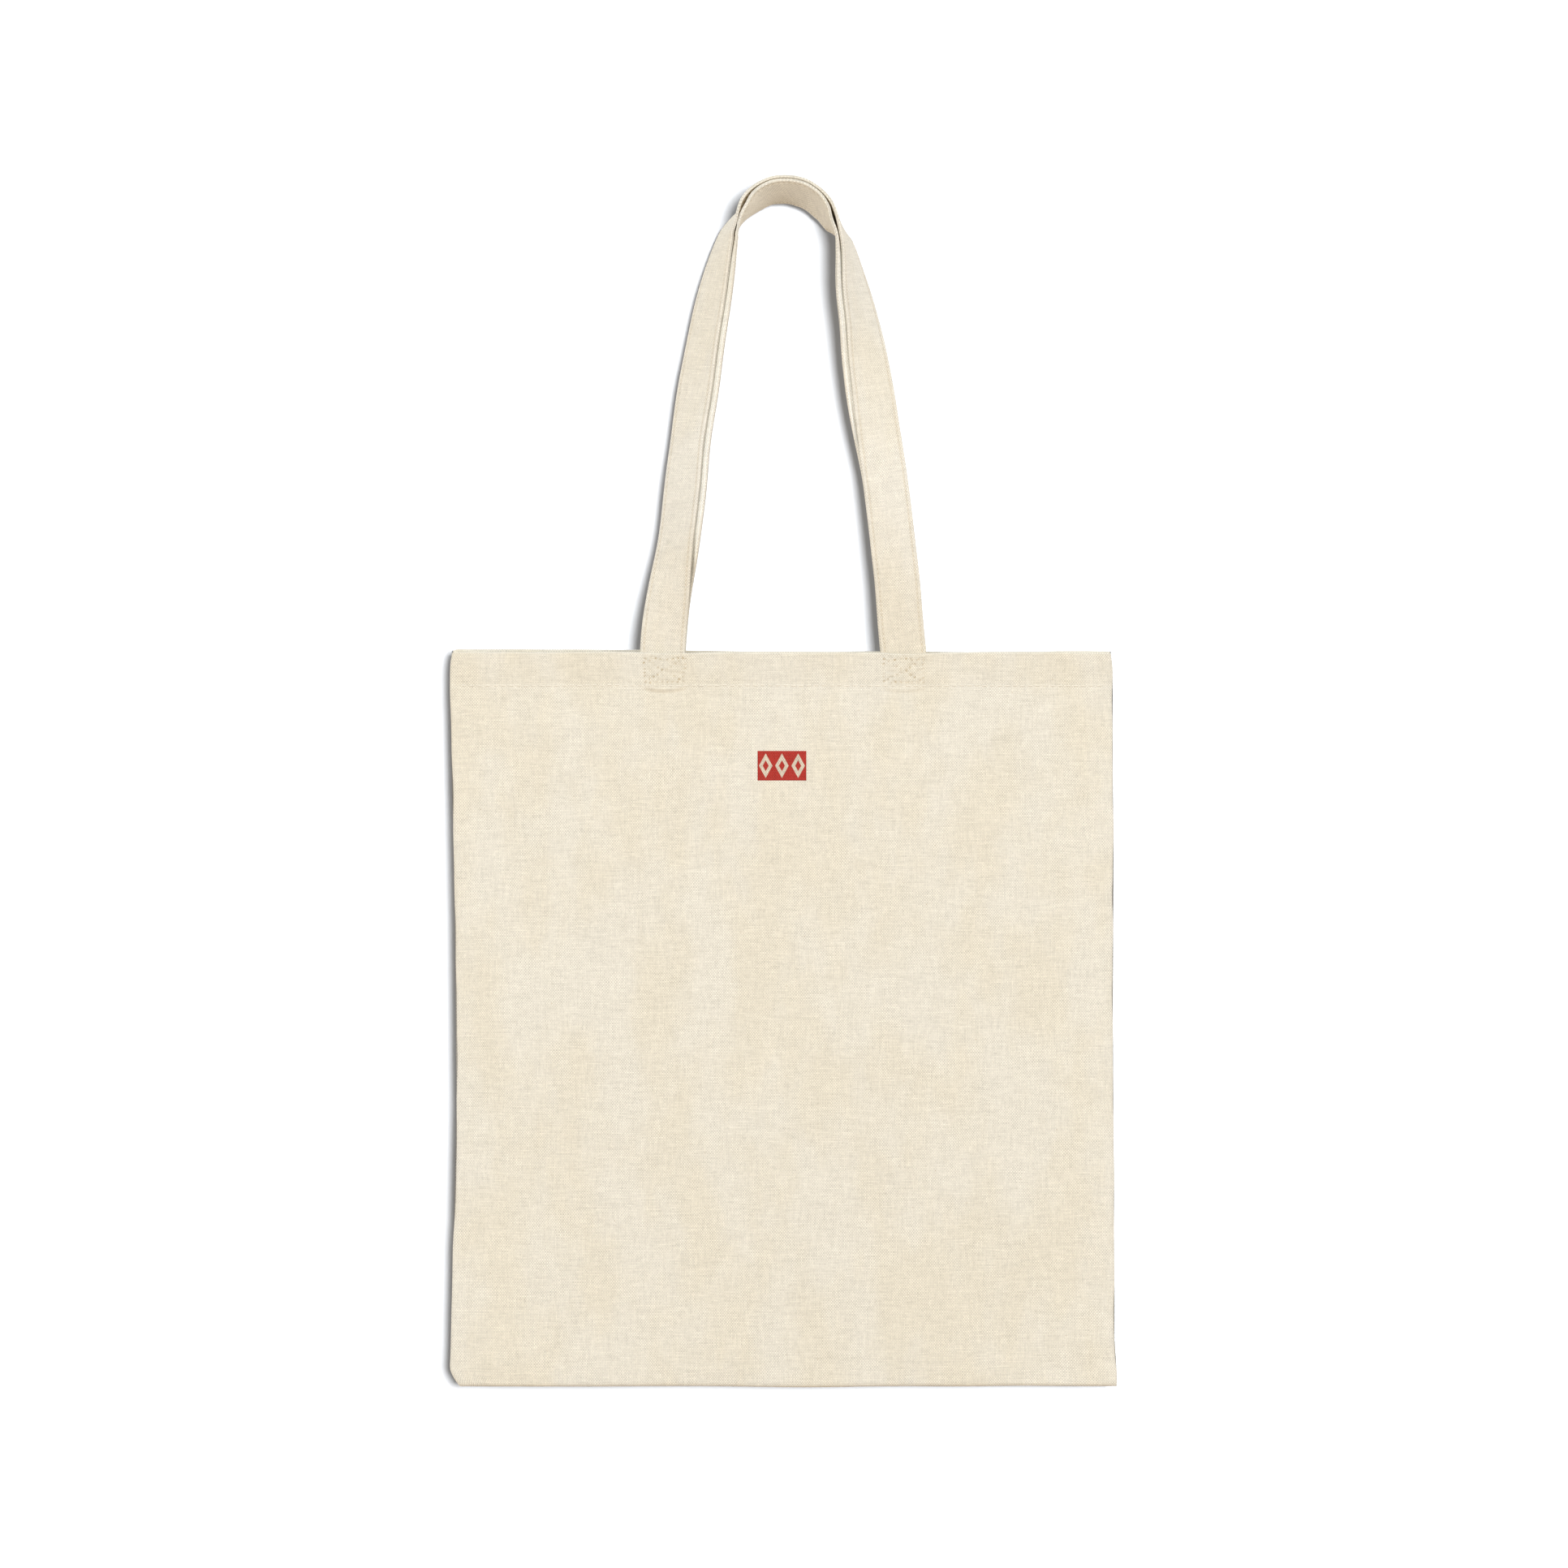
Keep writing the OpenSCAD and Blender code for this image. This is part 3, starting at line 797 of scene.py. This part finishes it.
def box_seam(name, side, hand):
    """The stitches of one sewn box: on the panel, and behind it on the strap's end."""
    starts, stops, outs = [], [], []
    for start, stop in box_stitches(hand):
        ends = np.array([start, stop])
        place, _ = cloth_point(side, ends[:, 0], ends[:, 1], np.zeros(2))
        out = np.array([0, side, 0.0])
        starts.append(place[0] + 0.02 * out)
        stops.append(place[1] + 0.02 * out)
        outs.append(out)
        back = np.array([[p[0], side * (STRAP_Y - STRAP_T / 2 - 0.1), p[2]] for p in place])
        if np.all(np.abs(np.abs(back[:, 0]) - STRAP_X) < STRAP_W / 2 - 0.5):
            starts.append(back[0])
            stops.append(back[1])
            outs.append(-out)
    return threads(name, starts, stops, outs, thread_fibre, BOX_THREAD_R)


def strap_seam(name, side):
    """Both stitch rows on both faces of a strap."""
    centre, normal, width, length = strap_line(side)
    s = np.arange(STRAP_PITCH, length[-1] - STRAP_PITCH, STRAP_PITCH)
    ends = np.stack([s - STRAP_STITCH / 2, s + STRAP_STITCH / 2])

    def at(values, where):
        return np.stack([np.interp(where, length, values[:, k]) for k in range(3)], -1)

    starts, stops, ups = [], [], []
    for w in (-STRAP_ROW, STRAP_ROW):
        for face in (-1, 1):
            lift = (face * strap_face(np.array(w), s, 100 + side))[:, None]
            tips = [at(centre, e) + w * at(width, e) + lift * unit(at(normal, e)) for e in ends]
            starts.append(tips[0])
            stops.append(tips[1])
            ups.append(face * at(normal, s))
    rows = (np.concatenate(v) for v in (starts, stops, ups))
    return threads(name, *rows, thread_fibre, STRAP_THREAD_R)


def allowance(name, node, lengthwise):
    """Two raw layers of canvas, turned in and a little wavy. lengthwise is the axis along the seam."""
    low, high = (np.array(c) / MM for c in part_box(node))
    other = 0 if lengthwise == 2 else 2
    along = spread((low[lengthwise], high[lengthwise], 3.0))
    along = np.append(along, high[lengthwise])
    t = np.array([0, 0.15, 0.4, 0.7, 0.9, 1.0])
    across = low[other] + t * (high[other] - low[other])
    half = (high[1] - low[1]) / 2
    ring_a = np.concatenate([across, across[::-1]])
    ring_n = np.concatenate([np.ones(6), -np.ones(6)]) * (half - 0.12)
    wave = 0.1 * waves(along, 0 * along, 110 + lengthwise, 6, 18, 60)
    points = np.zeros((len(ring_a), len(along), 3))
    points[..., lengthwise] = along[None]
    points[..., other] = ring_a[:, None]
    points[..., 1] = ring_n[:, None] + wave[None]
    cloth = np.stack([points[..., other], points[..., lengthwise], 0 * points[..., 0] + 60], -1)
    points = tucked(points)
    return make_piece(name, points.reshape(-1, 3), grid_faces(len(ring_a), len(along)),
                      raw_cloth, cloth.reshape(-1, 3))


def tucked(points):
    """Moves what lies inside the seams with the bag's outline, and a little further in."""
    x, z = points[..., 0], points[..., 2]
    shift, drop = outline_shift(x, TOP - z)
    shift = shift - np.sign(x) * 0.7 * smooth(np.abs(x), HALF_W - 30, HALF_W)
    return points + np.stack([shift, 0 * shift, 0.5 * smooth(z, BOTTOM + 14, BOTTOM) - drop], -1)


def overlock(name, node, lengthwise, edge_sign):
    """Thread that wraps round the raw edge of an allowance, one loop to each stitch."""
    low, high = (np.array(c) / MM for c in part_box(node))
    other = 0 if lengthwise == 2 else 2
    bite, stand = 4.0, 0.3
    span = high[lengthwise] - low[lengthwise]
    turns = int(span / OVERLOCK_PITCH)
    t = np.linspace(0, turns, turns * 14 + 1)
    edge = high[other] if edge_sign > 0 else low[other]
    line = np.zeros((len(t), 3))
    line[:, lengthwise] = low[lengthwise] + t / turns * span
    into = (bite - stand) / 2 + (bite + stand) / 2 * np.cos(2 * math.pi * t)
    line[:, other] = edge - edge_sign * (into + stand)
    line[:, 1] = 0.82 * np.sin(2 * math.pi * t)
    return tube(name, tucked(line), OVERLOCK_R, thread_fibre)


def print_piece(name):
    """The printed patch, a film of ink that follows the front panel."""
    x = np.linspace(print_low[0], print_high[0], 57)
    d = np.linspace(TOP - print_high[2], TOP - print_low[2], 35)
    x_grid, d_grid = np.meshgrid(x, d)
    face, _ = cloth_point(FRONT, x_grid, d_grid, 0 * x_grid)
    skins = [face + [0, FRONT * off, 0] for off in (0.1, 0.03)]
    rows, cols = x_grid.shape
    points = np.concatenate([s.reshape(-1, 3) for s in skins])
    faces = []
    for layer in (0, 1):
        base = layer * rows * cols
        for i in range(rows - 1):
            for j in range(cols - 1):
                a = base + i * cols + j
                quad = [a, a + cols, a + cols + 1, a + 1]
                faces.append(quad if layer == 0 else quad[::-1])
    rim = list(range(cols)) + [i * cols + cols - 1 for i in range(1, rows)]
    rim += [(rows - 1) * cols + j for j in range(cols - 2, -1, -1)]
    rim += [i * cols for i in range(rows - 2, 0, -1)]
    for a, b in zip(rim, rim[1:] + rim[:1]):
        faces.append([a, b, b + rows * cols, a + rows * cols])
    cloth = np.tile(np.stack([x_grid, -d_grid, 0 * x_grid - 7], -1).reshape(-1, 3), (2, 1))
    piece = make_piece(name, points, faces, ink_film, cloth)
    middle = (d[0] + d[-1]) / 2
    u = (x_grid - x[0]) / (x[-1] - x[0]) * 3
    v = (d_grid - middle) / (d[-1] - d[0]) * 2
    figure = np.tile(np.stack([u * 0.9999, v, 0 * u], -1).reshape(-1, 3), (2, 1))
    attribute = piece.data.attributes.new("figure", "FLOAT_VECTOR", "POINT")
    attribute.data.foreach_set("vector", figure.astype(np.float32).ravel())
    return piece


def outward(piece):
    """Turns every face of a closed piece outward."""
    work = bmesh.new()
    work.from_mesh(piece.data)
    bmesh.ops.recalc_face_normals(work, faces=work.faces)
    work.to_mesh(piece.data)
    work.free()


def place_front():
    """The front panel in two halves, each with its hem stitches."""
    half = half_columns()
    row_end = HALF_W - HEM_END
    halves = []
    for hand, word, columns, row in ((LEFT, "left", -half[::-1], (-row_end, 0)),
                                     (RIGHT, "right", half, (0, row_end))):
        cloth = cloth_piece(f"front_{word}_cloth", FRONT, columns, canvas_cloth)
        seam = hem_seam(f"front_{word}_hem_seam", FRONT, *row)
        for piece in (cloth, seam):
            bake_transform(piece)
        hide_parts("front_panel", "front_hem")
        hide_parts("front_hem_stitching")
        halves.append((cloth, seam))
    return halves


def place_back():
    """The back panel and its hem stitches, which stay with the bag."""
    half = half_columns()
    row_end = HALF_W - HEM_END
    cloth = cloth_piece("back_cloth", BACK, np.concatenate([-half[:0:-1], half]), canvas_cloth)
    seam = hem_seam("back_hem_seam", BACK, -row_end, row_end)
    for piece, nodes, finish in ((cloth, ("back_panel", "back_hem"), "canvas"),
                                 (seam, ("back_hem_stitching",), "thread")):
        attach(piece, "bag")
        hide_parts(*nodes)
    return cloth, seam


def place_straps():
    """Both loops with their stitches, and each one's sewn box stays on the panel."""
    for side, word, body in ((FRONT, "front", "front"), (BACK, "back", "bag")):
        strap = strap_piece(f"{word}_handle_strap", side, lit_strap_cloth)
        seam = strap_seam(f"{word}_handle_seam", side)
        for piece in (strap, seam):
            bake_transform(piece)
        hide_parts(f"{word}_handle", f"{word}_left_strap_end", f"{word}_right_strap_end")
        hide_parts(f"{word}_handle_stitching")
        for hand, hand_word in ((LEFT, "left"), (RIGHT, "right")):
            box = box_seam(f"{word}_{hand_word}_box_seam", side, hand)
            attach(box, body)
            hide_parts(f"{word}_{hand_word}_box_stitching")


def place_inside():
    """The seam allowances inside the bag and the thread over their raw edges."""
    inside = []
    for word, lengthwise, edge_sign in (("left", 2, 1), ("right", 2, -1), ("bottom", 0, 1)):
        layers = allowance(f"{word}_seam_layers", f"{word}_seam_allowance", lengthwise)
        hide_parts(f"{word}_seam_allowance")
        thread = overlock(f"{word}_overlock", f"{word}_overlock_thread", lengthwise, edge_sign)
        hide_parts(f"{word}_overlock_thread")
        for piece in (layers, thread):
            outward(piece)
            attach(piece, "bag")
            inside.append(piece)
    return inside


# ---------------------------------------------------------------- camera, light and stage

def aim(thing, place, target):
    """Stands a thing at a place, with its -Z axis toward the target."""
    thing.location = place
    direction = np.array(target, float) - np.array(place, float)
    flat = math.hypot(direction[0], direction[1])
    thing.rotation_euler = (math.atan2(flat, -direction[2]), 0, math.atan2(-direction[0], direction[1]))


def make_camera():
    """A level front view from 2 m away, as wide as the photograph shows at the front panel."""
    view_x, view_z, away = 1.2 * MM, -339.5 * MM, 2.0
    seen_w = 0.901
    data = bpy.data.cameras.new("camera")
    data.sensor_width = 36
    data.lens = 36 * (away + panel_low[1] * MM) / seen_w
    camera = bpy.data.objects.new("camera", data)
    bpy.context.scene.collection.objects.link(camera)
    camera.location = (view_x, -away, view_z)
    camera.rotation_euler = (math.radians(90), 0, 0)
    bpy.context.scene.camera = camera


def area_light(name, place, size, watts, only=()):
    """A round lamp that points at the bag, or that lights nothing but the things in only."""
    data = bpy.data.lights.new(name, "AREA")
    data.shape = "DISK"
    data.size = size
    data.energy = watts
    light = bpy.data.objects.new(name, data)
    bpy.context.scene.collection.objects.link(light)
    aim(light, place, (0, 0, -0.35))
    if only:
        lit = bpy.data.collections.new(f"{name}_lights")
        for thing in only:
            lit.objects.link(thing)
        light.light_linking.receiver_collection = lit


def make_world(above, below):
    """An even studio dome, warmer from below, that the camera sees as plain white."""
    world = bpy.data.worlds.new("studio")
    bpy.context.scene.world = world
    world.use_nodes = True
    tree = world.node_tree
    tree.nodes.clear()
    place = tree.nodes.new("ShaderNodeTexCoord")
    axes = tree.nodes.new("ShaderNodeSeparateXYZ")
    height = tree.nodes.new("ShaderNodeMapRange")
    dome = tree.nodes.new("ShaderNodeMix")
    seen = tree.nodes.new("ShaderNodeMix")
    ray = tree.nodes.new("ShaderNodeLightPath")
    sky = tree.nodes.new("ShaderNodeBackground")
    out = tree.nodes.new("ShaderNodeOutputWorld")
    height.inputs["From Min"].default_value = -0.4
    height.inputs["From Max"].default_value = 0.4
    for made, low, high in ((dome, below, above), (seen, above, (1, 1, 1))):
        made.data_type = "RGBA"
        made.inputs[6].default_value = (*low, 1)
        made.inputs[7].default_value = (*high, 1)
    tree.links.new(place.outputs["Generated"], axes.inputs[0])
    tree.links.new(axes.outputs["Z"], height.inputs["Value"])
    tree.links.new(height.outputs["Result"], dome.inputs["Factor"])
    tree.links.new(dome.outputs[2], seen.inputs[6])
    tree.links.new(ray.outputs["Is Camera Ray"], seen.inputs["Factor"])
    tree.links.new(seen.outputs[2], sky.inputs["Color"])
    tree.links.new(sky.outputs[0], out.inputs["Surface"])


def backdrop(name, corners, shade, glow):
    """A plain pale plane that only the camera sees, clear from behind."""
    mesh = bpy.data.meshes.new(name)
    mesh.from_pydata(corners, [], [[0, 1, 2, 3]])
    g = Nodes(name)
    diffuse = g.node("ShaderNodeBsdfDiffuse", {"Color": (*shade, 1)})
    light = g.node("ShaderNodeEmission", {"Color": (1, 1, 1, 1), "Strength": glow})
    lit = g.node("ShaderNodeAddShader", {0: diffuse.outputs[0], 1: light.outputs[0]})
    clear = g.node("ShaderNodeBsdfTransparent")
    behind = g.node("ShaderNodeNewGeometry").outputs["Backfacing"]
    both = g.node("ShaderNodeMixShader", {0: behind, 1: lit.outputs[0], 2: clear.outputs[0]})
    g.node("ShaderNodeOutputMaterial", {"Surface": both.outputs[0]})
    mesh.materials.append(g.material)
    plane = bpy.data.objects.new(name, mesh)
    bpy.context.scene.collection.objects.link(plane)
    plane.visible_shadow = False
    plane.visible_diffuse = False
    plane.visible_glossy = False
    plane.visible_transmission = False
    return plane


def make_studio():
    """Even light from both sides, a wall close behind the bag and a floor below it."""
    make_world(above=(0.86, 0.865, 0.86), below=(0.66, 0.56, 0.46))
    area_light("left_light", (-2.4, -2.2, 0.25), 1.3, 45)
    area_light("right_light", (2.5, -2.2, 0.35), 1.3, 47.5)
    area_light("back_light", (-0.4, 3.2, 0.4), 1.3, 50)
    wall_y, wall_z, floor_y, floor_z, reach = 16.5 * MM, 1.2, -2.4, -0.83, 1.6
    wall_corners = [(-reach, wall_y, floor_z), (reach, wall_y, floor_z),
                    (reach, wall_y, wall_z), (-reach, wall_y, wall_z)]
    floor_corners = [(-reach, floor_y, floor_z), (reach, floor_y, floor_z),
                     (reach, wall_y, floor_z), (-reach, wall_y, floor_z)]
    wall = backdrop("wall", wall_corners, (0.214, 0.22, 0.229), 0.0)
    backdrop("floor", floor_corners, (0.6, 0.6, 0.6), 0.35)
    area_light("shadow_light", (0.85, -3.3, -0.07), 1.2, 640, only=[wall])
    bpy.context.scene.view_settings.view_transform = "Standard"


make_camera()
front_halves = place_front()
back, back_seam = place_back()
place_straps()
inside = place_inside()
printed = print_piece("front_print_film")
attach(printed, "front")
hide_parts("front_print")

make_studio()
